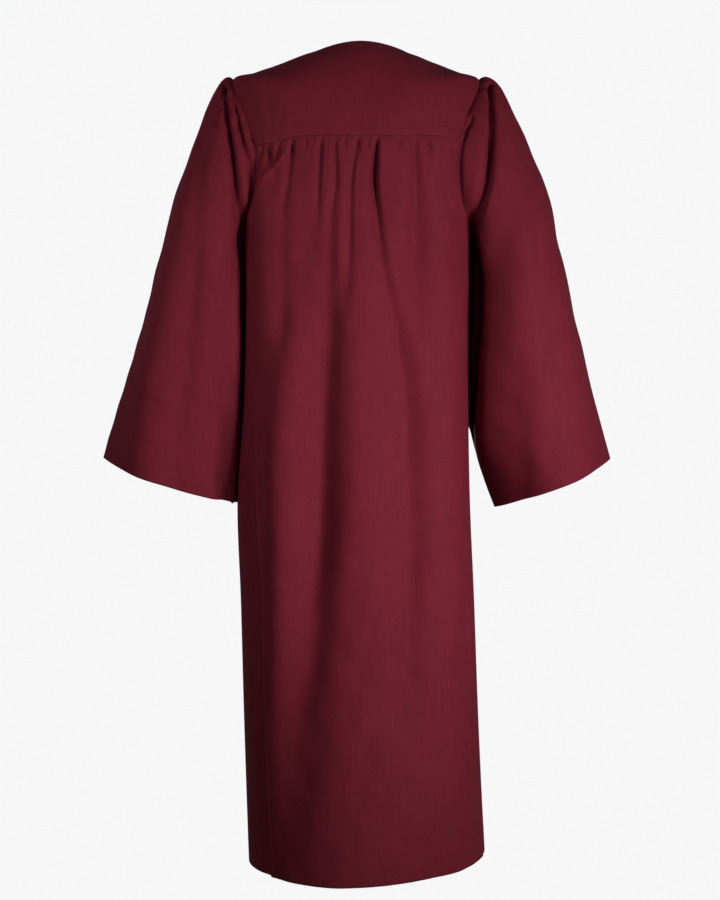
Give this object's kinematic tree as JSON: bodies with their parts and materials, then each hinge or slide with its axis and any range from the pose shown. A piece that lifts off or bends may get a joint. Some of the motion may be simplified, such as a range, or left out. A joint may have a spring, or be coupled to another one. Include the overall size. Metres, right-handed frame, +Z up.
{
  "type": "graduation gown",
  "caption": "Long bell-sleeved graduation gown with a yoked, gathered back, pleated fronts and a front zip, filled out as if worn.",
  "frame": {"origin": "midway between the two shoulder points, where a wearer's shoulders carry the gown", "axes": "+Z up, towards the neck; -Y out of the zipped front; +Y out of the gathered back; +X towards the wearer's left sleeve"},
  "size_m": [0.8146, 0.3566, 1.3046],
  "materials": {
    "gown_cloth": "matte maroon polyester",
    "zip_tape": "woven maroon tape",
    "zip_teeth": "moulded nylon coil",
    "zip_metal": "satin lacquer"
  },
  "bodies": {
    "gown": {"back_yoke": "gown_cloth", "front_yoke_left": "gown_cloth", "front_yoke_right": "gown_cloth", "back_panel": "gown_cloth", "front_left": "gown_cloth", "front_right": "gown_cloth", "sleeve_left": "gown_cloth", "sleeve_right": "gown_cloth", "zip_tape_left": "zip_tape", "zip_tape_right": "zip_tape", "zip_chain": "zip_teeth", "zip_slider": "zip_metal"},
    "pull_tab": {"zip_pull": "zip_metal"}
  },
  "joints": [
    {"name": "pull_tab_hinge", "type": "hinge", "parent": "gown", "child": "pull_tab", "pos_m": [0.00577, -0.12111, -0.12235], "axis": [-1, 0, 0], "range_deg": [0, 170]}
  ]
}
